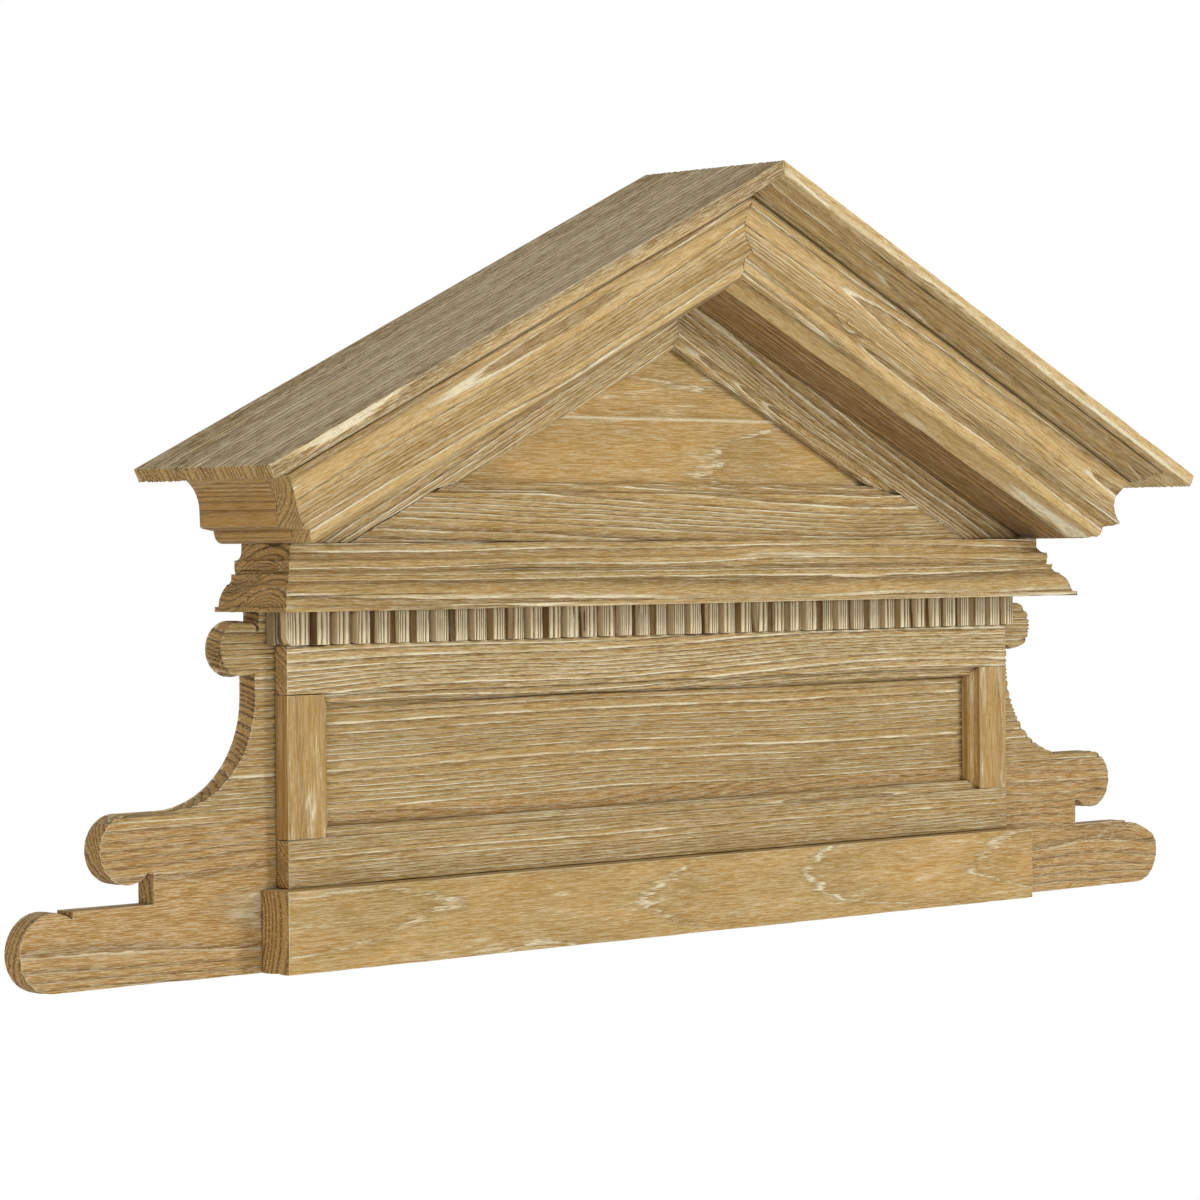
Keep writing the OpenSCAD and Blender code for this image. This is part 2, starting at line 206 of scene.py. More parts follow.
class Board:
    """How one board was sawn from its log. Lengths are in millimetres but for depth and glued.

    grain runs along the board, face is its main outward side, and pith is where the log's
    centre lies from heart (a point of the board), across the face and out of it. ring is the
    width of a growth ring and depth how far, in metres, the soft wood is brushed out. sway is
    how far the log bends along the board, and taper how fast its rings run out of the face.
    steps scale the mesh along and across the grain. knots are (along, across, reach), splits
    are (along, across, length), and pared places are (x, z, reach, move in x, move in z).
    seam is how far out two glued halves meet, glued the height, in metres, of an edge glued
    up tight, and limed_glue how much lime it holds. Wood less far out than recess gets painted shade.
    """

    def __init__(self, node, grain, face, heart, pith, ring, depth, seed, slot, finish,
                 sway=5.0, taper=0.0, knots=(), steps=(1.0, 1.0), seam=None, glued=None,
                 limed_glue=0.0, splits=(), pared=(), recess=None):
        self.node, self.slot, self.finish, self.seed = node, slot, finish, seed
        self.grain = Vector(grain).normalized()
        self.face = Vector(face).normalized()
        self.across = self.face.cross(self.grain).normalized()
        self.heart, self.pith, self.ring, self.depth = heart, pith, ring, depth
        self.sway, self.taper, self.knots, self.steps = sway, taper, knots, steps
        self.seam, self.glued, self.limed_glue = seam, glued, limed_glue
        self.splits, self.pared, self.recess = splits, pared, recess
        self.noise = Unevenness(seed)

    def local(self, points):
        """Distances along the grain, across the face and out of it, from the heart point."""
        rel = points / MM - np.array(self.heart)
        return [rel @ np.array(axis) for axis in (self.grain, self.across, self.face)]

    def ring_age(self, along, across, out):
        """Which ring each point lies in, counted from the pith, with a fraction."""
        n = self.noise
        swing = self.sway * (n(along / 310, 0.5, 0.2) - 0.5) * 2
        lift = self.sway * (n(along / 420, 4.5, 1.2) - 0.5) * 3 + self.taper * along
        pith_across, pith_out = self.pith
        if self.seam is not None:
            behind = out < self.seam
            pith_across = np.where(behind, -pith_across, pith_across)
            pith_out = np.where(behind, 2 * self.seam - pith_out, pith_out)
        radius = np.hypot(across - pith_across - swing, out - pith_out - lift)
        for at, over, reach in self.knots:
            near = np.exp(-((along - at) / (reach * 2.6)) ** 2 - ((across - over) / reach) ** 2)
            radius = radius + reach * 1.1 * near
        radius = radius + 2.6 * (n(along / 150, across / 24, out / 24) - 0.5)
        radius = radius + 0.9 * (n(along / 47, across / 8 + 9, out / 8) - 0.5)
        age = radius / self.ring
        # Good and bad years come in runs.
        return age + 0.55 * np.sin(age * 0.9 + self.seed)


def ridge(age):
    """Height of the brushed surface through one ring, from 0 in the groove to 1.

    Soft wood comes first in the year and hardens slowly, then the ring ends sharply.
    """
    t = age - np.floor(age)
    rise = np.clip((t - 0.10) / 0.42, 0, 1)
    fall = np.clip((1.0 - t) / 0.14, 0, 1)
    return np.minimum(rise * rise * (3 - 2 * rise), fall * fall * (3 - 2 * fall))


# ---- boards ----


def sharp_edges(bm, worn, glued):
    """Outer edges between faces wide enough to be rubbed round, but none on a glue line."""
    found = []
    for edge in bm.edges:
        if len(edge.link_faces) != 2 or not edge.is_convex:
            continue
        if edge.calc_face_angle(0) < math.radians(35):
            continue
        if glued is not None and all(abs(v.co.z - glued) < TIGHT for v in edge.verts):
            continue
        length = edge.calc_length()
        if length > 4 * worn and all(f.calc_area() / length > 3 * worn for f in edge.link_faces):
            found.append(edge)
    return found


def slice_all(bm, axis, step):
    """Cuts every face into strips square to an axis."""
    spread = [v.co.dot(axis) for v in bm.verts]
    lo, hi = min(spread), max(spread)
    count = max(1, round((hi - lo) / step))
    for i in range(1, count):
        bmesh.ops.bisect_plane(
            bm,
            geom=bm.verts[:] + bm.edges[:] + bm.faces[:],
            dist=MERGED,
            plane_co=axis * (lo + (hi - lo) * i / count),
            plane_no=axis,
        )


def shape_board(board, sizes):
    """A copy of a CAD node with rubbed edges, cut into a fine mesh for the growth rings to be brushed
    into.
    """
    bm = bmesh.new()
    bm.from_mesh(NODES[board.node].data)
    bmesh.ops.remove_doubles(bm, verts=bm.verts[:], dist=MERGED)
    bmesh.ops.dissolve_limit(
        bm, angle_limit=math.radians(0.4), verts=bm.verts[:], edges=bm.edges[:]
    )
    worn = sizes.edge_wear
    rubbed = bm.faces.layers.float.new("edge")
    made = bmesh.ops.bevel(
        bm,
        geom=sharp_edges(bm, worn, board.glued),
        offset=worn,
        segments=2,
        profile=0.5,
        affect="EDGES",
        material=-1,
        clamp_overlap=True,
    )
    for face in made["faces"]:
        face[rubbed] = 1.0
    coarse = 1.0
    slice_all(bm, board.grain, sizes.cell_along * board.steps[0] * coarse)
    slice_all(bm, board.across, sizes.cell_across * board.steps[1] * coarse)
    slice_all(bm, board.face, sizes.cell_across * 4 * board.steps[1] * coarse)
    mesh = bpy.data.meshes.new(board.node + "_brushed")
    bmesh.ops.recalc_face_normals(bm, faces=bm.faces[:])
    bm.to_mesh(mesh)
    bm.free()
    return mesh


def brush_board(mesh, board):
    """Sinks the soft wood between the rings and stores the grain for the materials.

    The attribute grain holds the ring, lime in a glue line, and the dark of a split or the painted
    shade at the bottom of a groove. The attribute board holds the distances along the grain, across
    the face and out of it. The others say which faces are a rubbed edge, a cut end, a side or back
    that took little lime and is painted darker partly as painted shade, or a top.
    """
    count = len(mesh.vertices)
    points = np.empty(count * 3, np.float32)
    mesh.vertices.foreach_get("co", points)
    points = points.reshape(-1, 3).astype(float)
    normals = np.empty(count * 3, np.float32)
    mesh.vertex_normals.foreach_get("vector", normals)
    normals = normals.reshape(-1, 3).astype(float)
    along, across, out = board.local(points)
    age = board.ring_age(along, across, out)
    patches = np.clip(3 * board.noise(along / 260, across / 60, out / 60) - 0.8, 0, 1)
    strength = 0.45 + 0.55 * patches
    # The brush bites deeper into the edges and ends of a board than into its face.
    exposed = 1.6 - 0.6 * np.abs(normals @ np.array(board.face))
    sunk = board.depth * (1 - ridge(age)) * strength * exposed
    lo, hi = points.min(0), points.max(0)
    nicks = board.noise(along / 9, across / 6, out / 6)
    rubbed = np.zeros(len(mesh.polygons), np.float32)
    if "edge" in mesh.attributes:
        mesh.attributes["edge"].data.foreach_get("value", rubbed)
    loops = np.empty(len(mesh.loops), np.int32)
    mesh.loops.foreach_get("vertex_index", loops)
    sides = np.empty(len(mesh.polygons), np.int32)
    mesh.polygons.foreach_get("loop_total", sides)
    on_edge = np.zeros(count)
    np.maximum.at(on_edge, loops, np.repeat(rubbed, sides))
    sunk = sunk + on_edge * 0.8 * MM * np.clip(nicks - 0.45, 0, 1) ** 1.5 * 2
    hidden = points[:, 1] > -WALL_SKIN
    sunk = np.where(hidden, 0, sunk)
    gaps = np.zeros(count)
    for at, over, length in board.splits:
        bend = over + 3 * (board.noise(along / 25, 3.3) - 0.5)
        ends = np.clip((length / 2 - np.abs(along - at)) / 8, 0, 1)
        gap = np.exp(-(((across - bend) / 1.2) ** 2)) * ends * (out > 0)
        sunk = np.where(hidden, 0, sunk + gap * 1.5 * MM)
        gaps = np.maximum(gaps, gap)
    # Painted shade: wood less far out than recess, at the bottom of the grooves between dentils, is
    # painted dark.
    if board.recess is not None:
        gaps = np.maximum(gaps, RECESS_SHADE * (out < board.recess))
    moved = points - normals * sunk[:, None]
    for x, z, reach, move_x, move_z in board.pared:
        away = np.hypot(points[:, 0] / MM - x, points[:, 2] / MM - z) / reach
        fade = np.clip(1 - away, 0, 1)
        fade = fade * fade * (3 - 2 * fade)
        moved[:, 0] += move_x * MM * fade
        moved[:, 2] += move_z * MM * fade
    tight = np.zeros(count, bool)
    if board.glued is not None:
        tight = np.abs(points[:, 2] - board.glued) < TIGHT
        moved[tight] = points[tight]
    moved = np.clip(moved, lo, hi)
    mesh.vertices.foreach_set("co", moved.astype(np.float32).ravel())
    offset = board.seed * 137.0
    for name, values in (
        ("grain", np.stack([age, tight * board.limed_glue, gaps], -1)),
        ("board", np.stack([along + offset, across, out], -1)),
    ):
        layer = mesh.attributes.new(name, "FLOAT_VECTOR", "POINT")
        layer.data.foreach_set("vector", values.astype(np.float32).ravel())
    facing = np.empty(len(mesh.polygons) * 3, np.float32)
    mesh.polygons.foreach_get("normal", facing)
    facing = facing.reshape(-1, 3)
    cut_across = np.abs(facing @ np.array(board.grain)) > 0.55
    # Side and back faces are painted darker with less lime: partly the plainer sawn wood, partly
    # painted shade.
    unlimed_and_shaded_side = ((np.abs(facing[:, 0]) > 0.8) | (facing[:, 1] > 0.9)) & ~cut_across
    skyward = facing[:, 2] > 0.7
    for name, chosen in (("end", cut_across), ("side", unlimed_and_shaded_side), ("top", skyward)):
        layer = mesh.attributes.new(name, "FLOAT", "FACE")
        layer.data.foreach_set("value", chosen.astype(np.float32))
    mesh.polygons.foreach_set("use_smooth", np.ones(len(mesh.polygons), bool))
    mesh.set_sharp_from_angle(angle=math.radians(38))
    mesh.update()


def hang_board(board):
    """Makes one board's piece and lets it stand for its CAD node."""
    scene = bpy.context.scene
    mesh = shape_board(board, scene.pediment_sizes)
    brush_board(mesh, board)
    piece = bpy.data.objects.new(board.node.replace("_board", "").replace("_", "-"), mesh)
    scene.collection.objects.link(piece)
    mesh.materials.append(limed_wood(board.finish, scene.pediment_colours))
    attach(piece, "root")
    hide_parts(board.node)
    return piece


# ---- materials ----


def add(tree, kind, inputs=(), **settings):
    """Adds a node, sets it and links it. Inputs are (name, value or output) pairs."""
    node = tree.nodes.new(kind)
    for name, value in settings.items():
        setattr(node, name, value)
    for name, value in dict(inputs).items():
        socket = node.inputs[name]
        if isinstance(value, bpy.types.NodeSocket):
            tree.links.new(value, socket)
        elif isinstance(value, tuple) and len(value) == 3 and socket.type == "RGBA":
            socket.default_value = (*value, 1)
        else:
            socket.default_value = value
    return node


# Each finish of the same softwood, mostly from 0 to 1: how strong the lime lines, dark ring
# lines, lime haze and amber patches show, how wide and unbroken a lime line is, how golden,
# bare or greyed the wood is, how far its fibres stray from the rings, and how strongly they
# show. Heavily limed wood looks striped cream and brown, golden wood is warm with thin pale
# lines, finely brushed wood is smooth with faint wisps, and greyed wood is dull and dry.
FINISHES = {
    "Spruce_brushed_deep_and_limed": dict(
        lines=0.88, width=0.28, even=0.35, dark=0.60, haze=0.40, amber=0.50, pale=0.0,
        bare=0.0, grey=0.0, stray=0.22, fibre=0.72),
    "Spruce_golden_and_limed": dict(
        lines=0.95, width=0.22, even=0.20, dark=0.62, haze=0.45, amber=0.60, pale=0.70,
        bare=0.0, grey=0.0, stray=0.22, fibre=0.80),
    "Spruce_brushed_crisp_and_limed": dict(
        lines=1.0, width=0.34, even=0.45, dark=0.75, haze=0.50, amber=0.45, pale=0.25,
        bare=0.0, grey=0.0, stray=0.20, fibre=0.90),
    "Spruce_brushed_heavily_limed": dict(
        lines=1.0, width=0.85, even=1.0, dark=0.95, haze=1.2, amber=0.10, pale=1.0,
        bare=0.0, grey=0.0, stray=0.10, fibre=0.40),
    "Spruce_brushed_fine_and_limed": dict(
        lines=0.75, width=0.09, even=0.05, dark=0.14, haze=0.62, amber=1.0, pale=0.0,
        bare=0.0, grey=0.0, stray=0.30, fibre=0.60),
    "Spruce_brown_and_limed": dict(
        lines=0.50, width=0.16, even=0.05, dark=0.60, haze=0.34, amber=0.0, pale=0.0,
        bare=0.75, grey=0.0, stray=0.30, fibre=0.80),
    "Spruce_smooth_and_hazed": dict(
        lines=0.35, width=0.12, even=0.05, dark=0.25, haze=0.90, amber=0.15, pale=0.0,
        bare=0.30, grey=0.0, stray=0.30, fibre=0.45),
    # The soffit undersides: little lime and dark brown, partly the wood's own colour and partly
    # painted shade under the eaves.
    "Spruce_little_lime_and_painted_shade": dict(
        lines=0.50, width=0.12, even=0.50, dark=1.0, haze=0.0, amber=0.30, pale=0.0,
        bare=1.0, grey=0.0, stray=0.22, fibre=0.50),
    "Spruce_bare_and_golden": dict(
        lines=0.40, width=0.12, even=0.40, dark=0.55, haze=0.10, amber=1.0, pale=0.30,
        bare=0.60, grey=0.0, stray=0.25, fibre=0.60),
    "Spruce_brushed_and_greyed": dict(
        lines=0.85, width=0.32, even=0.45, dark=0.72, haze=0.45, amber=0.30, pale=0.75,
        bare=0.0, grey=0.80, stray=0.22, fibre=1.0),
}


def limed_wood(name, tints):
    """Wire-brushed softwood with limewash rubbed in: hard ring lines stand proud and warm,
    the soft wood is sunk and holds pale lime, and cut ends stay darker."""
    found = bpy.data.materials.get(name)
    if found:
        return found
    look = FINISHES[name]
    material = bpy.data.materials.new(name)
    material.use_nodes = True
    tree = material.node_tree
    tree.nodes.clear()

    def attribute(called):
        return add(tree, "ShaderNodeAttribute", attribute_name=called)

    def maths(operation, a, b=0.0, c=0.0):
        return add(tree, "ShaderNodeMath", {0: a, 1: b, 2: c}, operation=operation).outputs[0]

    def mix(share, a, b):
        return add(
            tree, "ShaderNodeMix", {"Factor": share, 6: a, 7: b}, data_type="RGBA"
        ).outputs[2]

    def streaks(along, across, detail=3.0, twist=0.0):
        """Noise drawn out along the grain: lengths in mm along and across it."""
        scaled = add(
            tree, "ShaderNodeVectorMath",
            {0: board, 1: (1 / along, 1 / across, 1 / across)}, operation="MULTIPLY",
        ).outputs[0]
        return add(
            tree, "ShaderNodeTexNoise",
            {"Vector": scaled, "Scale": 1.0, "Detail": detail, "Roughness": 0.6, "Distortion": twist},
        ).outputs["Fac"]

    def between(value, low, high):
        return add(
            tree, "ShaderNodeMapRange",
            {"Value": value, "From Min": low, "From Max": high},
            interpolation_type="SMOOTHSTEP",
        ).outputs["Result"]

    grain = add(tree, "ShaderNodeSeparateXYZ", {0: attribute("grain").outputs["Vector"]})
    age, glue, gaps = grain.outputs
    board = attribute("board").outputs["Vector"]
    end = attribute("end").outputs["Fac"]
    edge = attribute("edge").outputs["Fac"]
    side = attribute("side").outputs["Fac"]
    top = attribute("top").outputs["Fac"]

    # Real fibres are about 0.03 mm wide and 3 mm long, too fine to show, so they are drawn as
    # coarse as they need to be.
    fibre = streaks(20.0, 0.9)
    wisps = streaks(50.0, 2.4, 4.0)
    clouds = streaks(170.0, 38.0, 2.0, 0.8)
    haze = streaks(120.0, 13.0, 5.0, 0.8)
    specks = streaks(6.0, 1.0, 2.0)
    pores = streaks(1.6, 1.6, 2.0)

    # Each ring runs from pale, sunk soft wood to a hard dark line.
    wavering = maths("MULTIPLY_ADD", maths("SUBTRACT", wisps, 0.5), look["stray"], age)
    wavering = maths("MULTIPLY_ADD", maths("SUBTRACT", fibre, 0.5), look["stray"] * 0.5, wavering)
    phase = maths("FRACT", wavering)
    hard = maths(
        "MINIMUM", between(phase, 0.50, 0.90), maths("SUBTRACT", 1.0, between(phase, 0.95, 1.0))
    )
    groove = maths("SUBTRACT", 1.0, between(phase, look["width"] * 0.4, look["width"]))

    warm = mix(maths("MULTIPLY", between(clouds, 0.36, 0.66), look["amber"]),
               tuple(tints.earlywood), tuple(tints.amber))
    warm = mix(look["pale"], warm, tuple(tints.golden))
    warm = mix(maths("MULTIPLY", top, look["grey"]), warm, tuple(tints.weathered))
    ringed = mix(maths("MULTIPLY", hard, look["dark"]), warm, tuple(tints.latewood))
    # Side faces and bare finishes take the bare-wood tint: partly the wood's own colour, partly
    # painted shade on sides and undersides.
    bare = maths("MAXIMUM", maths("MULTIPLY", side, 0.7), look["bare"])
    shaded = mix(bare, ringed,
                 mix(maths("MULTIPLY", hard, look["dark"]), tuple(tints.shade), tuple(tints.latewood)))
    # Limewash stays in the grooves, as a haze, between the fibres and on rubbed edges.
    broken = maths("MAXIMUM", between(haze, 0.38, 0.58), look["even"])
    lines = maths("MULTIPLY", maths("MULTIPLY", groove, broken), look["lines"])
    light_fibre = between(fibre, 0.48, 0.58)
    hazy = maths("MULTIPLY", between(haze, 0.46, 0.72), look["haze"])
    hazy = maths("MULTIPLY", hazy, maths("MULTIPLY_ADD", light_fibre, 0.75, 0.25))
    lime_share = maths("MAXIMUM", lines, hazy)
    lime_share = maths("MAXIMUM", lime_share, maths("MULTIPLY", light_fibre, look["fibre"] * 0.36))
    lime_share = maths("MAXIMUM", lime_share, maths("MULTIPLY", edge, 0.55))
    lime_share = maths("MAXIMUM", lime_share, glue)
    lime_share = maths("MULTIPLY_ADD", between(specks, 0.50, 0.68), look["fibre"] * 0.22,
                       lime_share)
    # Side faces hold less lime, partly painted shade.
    lime_share = maths("MULTIPLY", lime_share, maths("MULTIPLY_ADD", side, -0.6, 1.0))
    whitened = mix(lime_share, shaded, tuple(tints.lime))
    dark_fibre = maths("SUBTRACT", 1.0, between(fibre, 0.36, 0.46))
    dark_speck = maths("SUBTRACT", 1.0, between(specks, 0.32, 0.46))
    dark_fibre = maths("MAXIMUM", dark_fibre, maths("MULTIPLY", dark_speck, 0.7))
    fibred = mix(maths("MULTIPLY", dark_fibre, look["fibre"] * 0.5), whitened,
                 tuple(c * 0.6 for c in tints.latewood))
    # Cut ends drink in stain, show their rings strongly and hold a little lime in the pores.
    end_grain = mix(0.15 + look["pale"] * 0.45, tuple(tints.shade), tuple(tints.golden))
    end_grain = mix(maths("MULTIPLY", hard, 0.85 - look["pale"] * 0.25), end_grain,
                    tuple(c * 0.7 for c in tints.latewood))
    end_grain = mix(maths("MULTIPLY", between(pores, 0.52, 0.66), 0.4), end_grain,
                    tuple(tints.lime))
    colour = mix(maths("MULTIPLY", end, 0.9), fibred, end_grain)
    # Painted shade: an ambient-occlusion node darkens creases, corners and the joints between pieces,
    # and the gaps value adds dark splits and painted shade at the bottoms of the grooves between
    # dentils.
    crease = add(tree, "ShaderNodeAmbientOcclusion", {"Distance": 0.006}, samples=6)
    crease_shade = maths("SUBTRACT", 1.0, between(crease.outputs["AO"], 0.28, 0.70))
    crease_shade = maths("MAXIMUM", maths("MULTIPLY", crease_shade, 0.60), maths("MULTIPLY", gaps, 0.9))
    colour = mix(crease_shade, colour, tuple(c * 0.35 for c in tints.latewood))

    height = maths("MULTIPLY_ADD", groove, -0.5, maths("MULTIPLY", fibre, 0.6))
    height = maths("MULTIPLY_ADD", hard, 0.4, height)
    height = maths("MULTIPLY_ADD", pores, 0.12, height)
    bump = add(tree, "ShaderNodeBump", {"Height": height, "Strength": 0.8, "Distance": 0.0012})
    rough = maths("MULTIPLY_ADD", lime_share, 0.14, 0.68)
    surface = add(
        tree, "ShaderNodeBsdfPrincipled",
        {"Base Color": colour, "Roughness": rough, "Normal": bump.outputs["Normal"],
         "IOR": 1.48, "Specular IOR Level": 0.35},
    )
    add(tree, "ShaderNodeOutputMaterial", {"Surface": surface.outputs["BSDF"]})
    return material


# ---- the boards of each group ----

RIGHT, UP, OUT = (1, 0, 0), (0, 0, 1), (0, -1, 0)
DEEP = "Spruce_brushed_deep_and_limed"
HEAVY = "Spruce_brushed_heavily_limed"
GOLD = "Spruce_golden_and_limed"
FINE = "Spruce_brushed_fine_and_limed"
BROWN = "Spruce_brown_and_limed"
HAZED = "Spruce_smooth_and_hazed"
DARK = "Spruce_little_lime_and_painted_shade"
GREY = "Spruce_brushed_and_greyed"
CRISP = "Spruce_brushed_crisp_and_limed"
BARE = "Spruce_bare_and_golden"
SLOPE = math.radians(25)  # of the roof
SIDES = (("left", -1), ("right", 1))


def middle(node):
    """The centre of a CAD node's box, in millimetres."""
    lo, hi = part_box(node)
    return tuple((a + b) / 2 / MM for a, b in zip(lo, hi))


def down_rake(side):
    """Unit vector down one slope of the roof."""
    return (side * math.cos(SLOPE), 0, -math.sin(SLOPE))


def above_rake(side):
    """Unit vector square to one slope of the roof, upwards."""
    return (side * math.sin(SLOPE), 0, math.cos(SLOPE))


class PEDIMENT_OT_back_board(bpy.types.Operator):
    """Makes the two planks of the scroll-winged back board"""

    bl_idname = "pediment.back_board"
    bl_label = "Back board"

    def execute(self, context):
        sizes = context.scene.pediment_sizes
        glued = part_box("back_board_upper")[0].z
        hang_board(Board("back_board_upper", RIGHT, OUT, middle("back_board_upper"),
                         (-240, -60), 5.7, sizes.deep_brushing, 3, "limed_wood", DEEP, sway=3,
                         glued=glued))
        hang_board(Board("back_board_lower", RIGHT, OUT, middle("back_board_lower"),
                         (-14, -70), 4.8, sizes.fine_brushing * 0.9, 5, "limed_wood", BROWN,
                         sway=12, taper=0.02, glued=glued,
                         splits=((742, -21, 34), (655, 36, 30)),
                         pared=((737, -162, 36, 0, -7),)))
        return {"FINISHED"}


class PEDIMENT_OT_plinth(bpy.types.Operator):
    """Makes the plinth board"""

    bl_idname = "pediment.plinth"
    bl_label = "Plinth"

    def execute(self, context):
        sizes = context.scene.pediment_sizes
        hang_board(Board("plinth_board", RIGHT, OUT, middle("plinth_board"),
                         (6, -130), 6.5, sizes.fine_brushing * 0.5, 8, "brown_wood", FINE,
                         sway=14, taper=0.02))
        return {"FINISHED"}


class PEDIMENT_OT_frieze_frame(bpy.types.Operator):
    """Makes the rails and stiles of the frieze frame"""

    bl_idname = "pediment.frieze_frame"
    bl_label = "Frieze frame"

    def execute(self, context):
        fine = context.scene.pediment_sizes.fine_brushing
        hang_board(Board("frieze_top_rail", RIGHT, OUT, middle("frieze_top_rail"),
                         (-70, -44), 4.0, fine * 1.2, 11, "limed_wood", CRISP, sway=9, taper=0.012))
        hang_board(Board("frieze_bottom_rail", RIGHT, OUT, middle("frieze_bottom_rail"),
                         (-150, -150), 2.7, fine * 0.7, 12, "limed_wood", DEEP, sway=3))
        for name, side in SIDES:
            node = f"frieze_{name}_stile"
            hang_board(Board(node, UP, OUT, middle(node), (side * 14, -90), 7.5, fine * 0.5,
                             13 + side, "limed_wood", HAZED, sway=8, taper=0.03))
        return {"FINISHED"}


class PEDIMENT_OT_dentils(bpy.types.Operator):
    """Makes the dentil strip"""

    bl_idname = "pediment.dentils"
    bl_label = "Dentils"

    def execute(self, context):
        fine = context.scene.pediment_sizes.fine_brushing
        hang_board(Board("dentil_strip", UP, OUT, middle("dentil_strip"), (-700, -90), 3.6,
                         fine * 0.7, 17, "limed_wood", HEAVY, sway=2, steps=(0.6, 0.9),
                         recess=1.0, pared=((-488, 54, 5, 2.5, 1.5),)))
        return {"FINISHED"}


class PEDIMENT_OT_bed_mouldings(bpy.types.Operator):
    """Makes the two bed mouldings"""

    bl_idname = "pediment.bed_mouldings"
    bl_label = "Bed mouldings"

    def execute(self, context):
        fine = context.scene.pediment_sizes.fine_brushing
        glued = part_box("bed_moulding_upper")[0].z
        hang_board(Board("bed_moulding_lower", RIGHT, OUT, middle("bed_moulding_lower"),
                         (-34, 14), 4.2, fine * 1.7, 19, "limed_wood", DEEP, sway=3, seam=-14.0,
                         glued=glued))
        hang_board(Board("bed_moulding_upper", RIGHT, OUT, middle("bed_moulding_upper"),
                         (-46, 4), 4.4, fine * 1.7, 23, "limed_wood", DEEP, sway=4,
                         glued=glued))
        return {"FINISHED"}


class PEDIMENT_OT_tympanum(bpy.types.Operator):
    """Makes the tympanum's boards and the rails planted on them"""

    bl_idname = "pediment.tympanum"
    bl_label = "Tympanum"

    def execute(self, context):
        fine = context.scene.pediment_sizes.fine_brushing
        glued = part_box("tympanum_board_upper")[0].z
        for k, name in enumerate(("lower", "upper")):
            node = f"tympanum_board_{name}"
            hang_board(Board(node, RIGHT, OUT, middle(node), (12 - 30 * k, -150), 9.0,
                             fine * 0.35, 29 + k, "limed_wood", FINE, sway=16, taper=0.01,
                             steps=(1.4, 1.6), glued=glued, limed_glue=0.8))
        hang_board(Board("tympanum_bottom_rail", RIGHT, OUT, middle("tympanum_bottom_rail"),
                         (60, -60), 4.2, fine * 0.8, 31, "limed_wood", DEEP, sway=8, taper=0.012))
        for name, side in SIDES:
            node = f"tympanum_{name}_rail"
            hang_board(Board(node, down_rake(side), OUT, middle(node), (24 * side, -40), 3.6,
                             fine * 0.8, 37 + side, "limed_wood", CRISP, sway=12, taper=0.03))
        return {"FINISHED"}


class PEDIMENT_OT_eaves(bpy.types.Operator):
    """Makes the soffit boards and the eave returns"""

    bl_idname = "pediment.eaves"
    bl_label = "Eaves and soffits"

    def execute(self, context):
        fine = context.scene.pediment_sizes.fine_brushing
        for name, side in SIDES:
            # The soffit boards take the darkened finish, partly painted shade.
            node = f"{name}_soffit_board"
            under = tuple(-c for c in above_rake(side))
            hang_board(Board(node, down_rake(side), under, middle(node), (-160, -40), 5.5,
                             fine, 41 + side, "brown_wood", DARK, sway=3))
            node = f"{name}_eave_return"
            hang_board(Board(node, OUT, (side, 0, 0), middle(node), (-60, -40), 6.0,
                             fine * 0.7, 47 + side, "brown_wood", BARE, sway=3))
        return {"FINISHED"}


class PEDIMENT_OT_raking_crown(bpy.types.Operator):
    """Makes the two moulded boards of the raking crown"""

    bl_idname = "pediment.raking_crown"
    bl_label = "Raking crown"

    def execute(self, context):
        fine = context.scene.pediment_sizes.fine_brushing
        for name, side in SIDES:
            node = f"{name}_raking_crown"
            knots = [(-150 * side, -28, 9)]
            if name == "right":
                knots.append((340, -30, 9))
            hang_board(Board(node, down_rake(side), OUT, middle(node), (40 * side, -90), 4.2,
                             fine * 1.2, 53 + side, "limed_wood", GOLD, sway=12, taper=0.02,
                             knots=knots))
        return {"FINISHED"}


class PEDIMENT_OT_roof(bpy.types.Operator):
    """Makes the two roof boards"""

    bl_idname = "pediment.roof"
    bl_label = "Roof boards"

    def execute(self, context):
        fine = context.scene.pediment_sizes.fine_brushing
        for name, side in SIDES:
            node = f"{name}_roof_board"
            hang_board(Board(node, down_rake(side), above_rake(side), middle(node), (-260, -50),
                             5.2, fine * 2, 61 + side, "roof_wood", GREY, sway=3))
        return {"FINISHED"}


# ---- stage ----


FLOOR_RADIUS = 60
LIT_CENTRE = Vector((0, 0, 0.1))  # the lamps are turned to this point


def seen_directly(tree, usual, direct, output):
    """Shows one shader to the camera and the usual one to everything it lights."""
    path = add(tree, "ShaderNodeLightPath")
    both = add(
        tree, "ShaderNodeMixShader",
        {0: path.outputs["Is Camera Ray"], 1: usual.outputs[0], 2: direct.outputs[0]},
    )
    add(tree, output, {"Surface": both.outputs[0]})


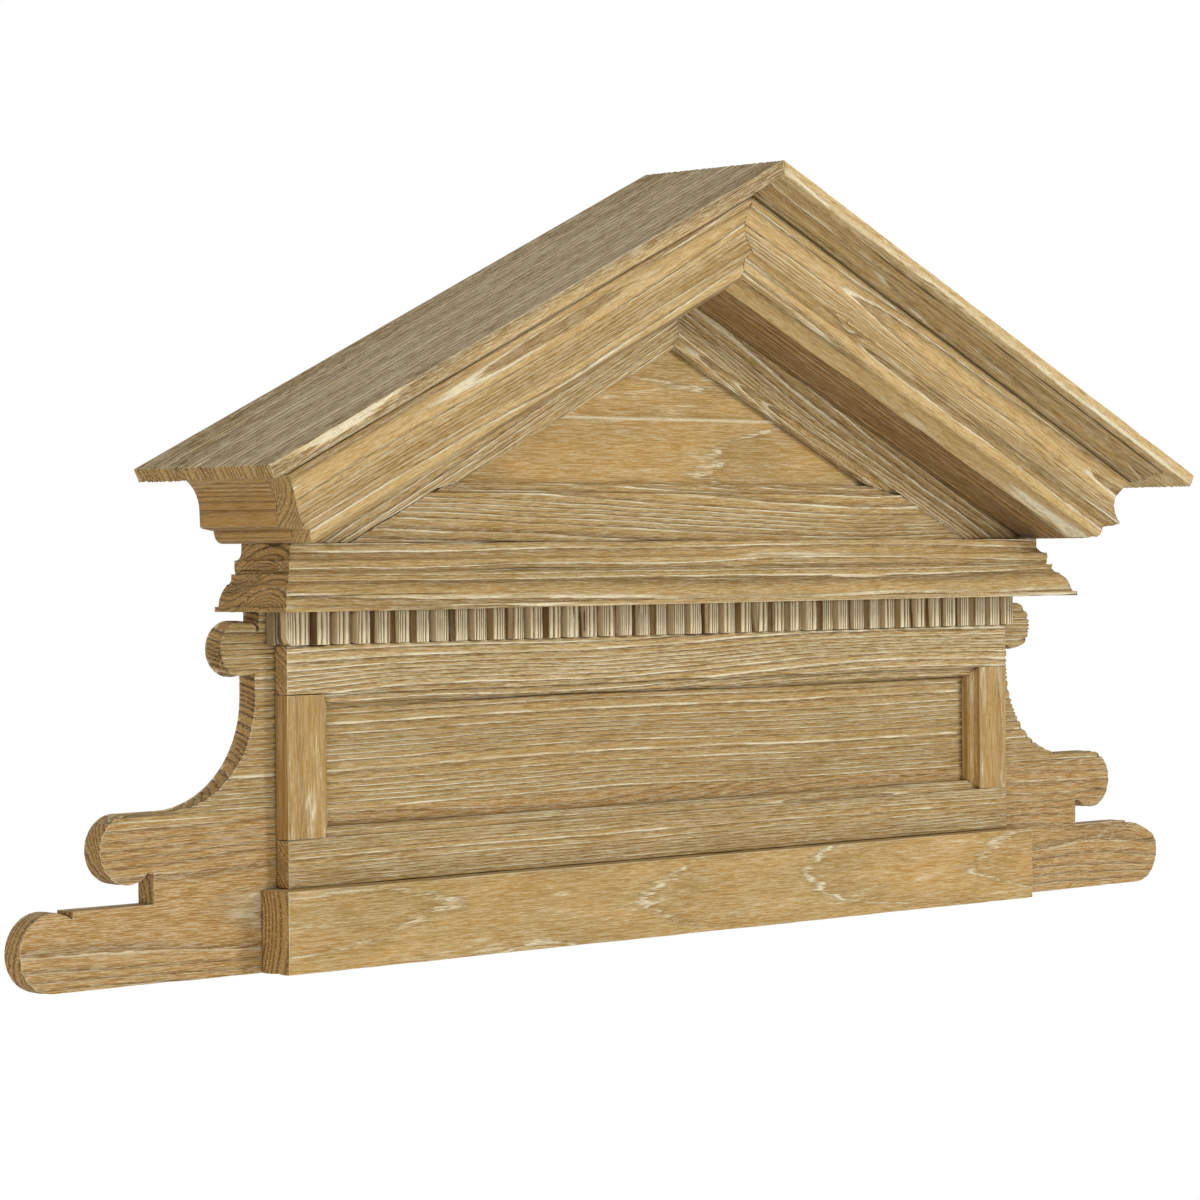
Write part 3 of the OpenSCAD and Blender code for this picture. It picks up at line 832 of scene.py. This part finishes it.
class PEDIMENT_OT_stage(bpy.types.Operator):
    """Makes the pale floor, the lamps and the camera"""

    bl_idname = "pediment.stage"
    bl_label = "Stage"

    def execute(self, context):
        scene = context.scene
        stage = scene.pediment_stage
        bm = bmesh.new()
        bmesh.ops.create_circle(bm, cap_ends=True, segments=96, radius=FLOOR_RADIUS)
        bmesh.ops.translate(bm, verts=bm.verts[:], vec=(0, 0, -stage.floor_drop))
        mesh = bpy.data.meshes.new("floor")
        bm.to_mesh(mesh)
        bm.free()
        floor = bpy.data.objects.new("floor", mesh)
        scene.collection.objects.link(floor)
        paint = bpy.data.materials.new("Matt_white_paint")
        paint.use_nodes = True
        tree = paint.node_tree
        tree.nodes.clear()
        matt = add(tree, "ShaderNodeBsdfDiffuse", {"Color": (0.8, 0.8, 0.8)})
        evenly_lit = add(tree, "ShaderNodeEmission", {"Color": (1, 1, 1), "Strength": 1.0})
        seen_directly(tree, matt, evenly_lit, "ShaderNodeOutputMaterial")
        mesh.materials.append(paint)

        world = bpy.data.worlds.new("Daylight")
        scene.world = world
        world.use_nodes = True
        tree = world.node_tree
        tree.nodes.clear()
        even = add(
            tree, "ShaderNodeBackground",
            {"Color": (1.0, 0.985, 0.96), "Strength": stage.daylight},
        )
        backdrop = add(tree, "ShaderNodeBackground", {"Color": (1, 1, 1), "Strength": 1.0})
        seen_directly(tree, even, backdrop, "ShaderNodeOutputWorld")

        for name, place, size, power in (
            ("key_lamp", (2.2, -4.2, 1.75), 1.2, stage.key_power),
            ("fill_lamp", (-5.6, -5.2, -0.8), 3.4, stage.fill_power),
        ):
            lamp = bpy.data.lights.new(name, "AREA")
            lamp.shape = "DISK"
            lamp.size = size
            lamp.energy = power
            holder = bpy.data.objects.new(name, lamp)
            holder.location = place
            aim = LIT_CENTRE - Vector(place)
            holder.rotation_euler = aim.to_track_quat("-Z", "Y").to_euler()
            scene.collection.objects.link(holder)

        lens = bpy.data.cameras.new("camera")
        lens.lens = stage.lens
        lens.sensor_width = 36
        lens.clip_end = 200
        camera = bpy.data.objects.new("camera", lens)
        camera.location = (-2.6491, -2.6646, 0.1359)
        camera.rotation_euler = [math.radians(a) for a in (89.254, 0.469, -44.115)]
        scene.collection.objects.link(camera)
        scene.camera = camera
        scene.view_settings.view_transform = "Standard"
        scene.view_settings.look = "None"
        return {"FINISHED"}


# ---- sidebar ----

MAKERS = (
    PEDIMENT_OT_back_board,
    PEDIMENT_OT_plinth,
    PEDIMENT_OT_frieze_frame,
    PEDIMENT_OT_dentils,
    PEDIMENT_OT_bed_mouldings,
    PEDIMENT_OT_tympanum,
    PEDIMENT_OT_eaves,
    PEDIMENT_OT_raking_crown,
    PEDIMENT_OT_roof,
    PEDIMENT_OT_stage,
)


class PEDIMENT_PT_sidebar(bpy.types.Panel):
    bl_idname = "PEDIMENT_PT_sidebar"
    bl_label = "Pediment"
    bl_space_type = "VIEW_3D"
    bl_region_type = "UI"
    bl_category = "Pediment"

    def draw(self, context):
        for maker in MAKERS:
            self.layout.operator(maker.bl_idname)
        for group in ("pediment_colours", "pediment_sizes", "pediment_stage"):
            settings = getattr(context.scene, group)
            for name in settings.bl_rna.properties.keys():
                if name not in ("rna_type", "name"):
                    self.layout.prop(settings, name)


GROUPS = {
    "pediment_colours": PedimentColours,
    "pediment_sizes": PedimentSizes,
    "pediment_stage": PedimentStage,
}


def register():
    for kind in (*GROUPS.values(), *MAKERS, PEDIMENT_PT_sidebar):
        bpy.utils.register_class(kind)
    for name, kind in GROUPS.items():
        setattr(bpy.types.Scene, name, bpy.props.PointerProperty(type=kind))


def unregister():
    for name in GROUPS:
        delattr(bpy.types.Scene, name)
    for kind in (PEDIMENT_PT_sidebar, *reversed(MAKERS), *GROUPS.values()):
        bpy.utils.unregister_class(kind)


def main():
    register()
    for maker in MAKERS:
        group, name = maker.bl_idname.split(".")
        getattr(getattr(bpy.ops, group), name)()


if __name__ == "__main__":
    main()
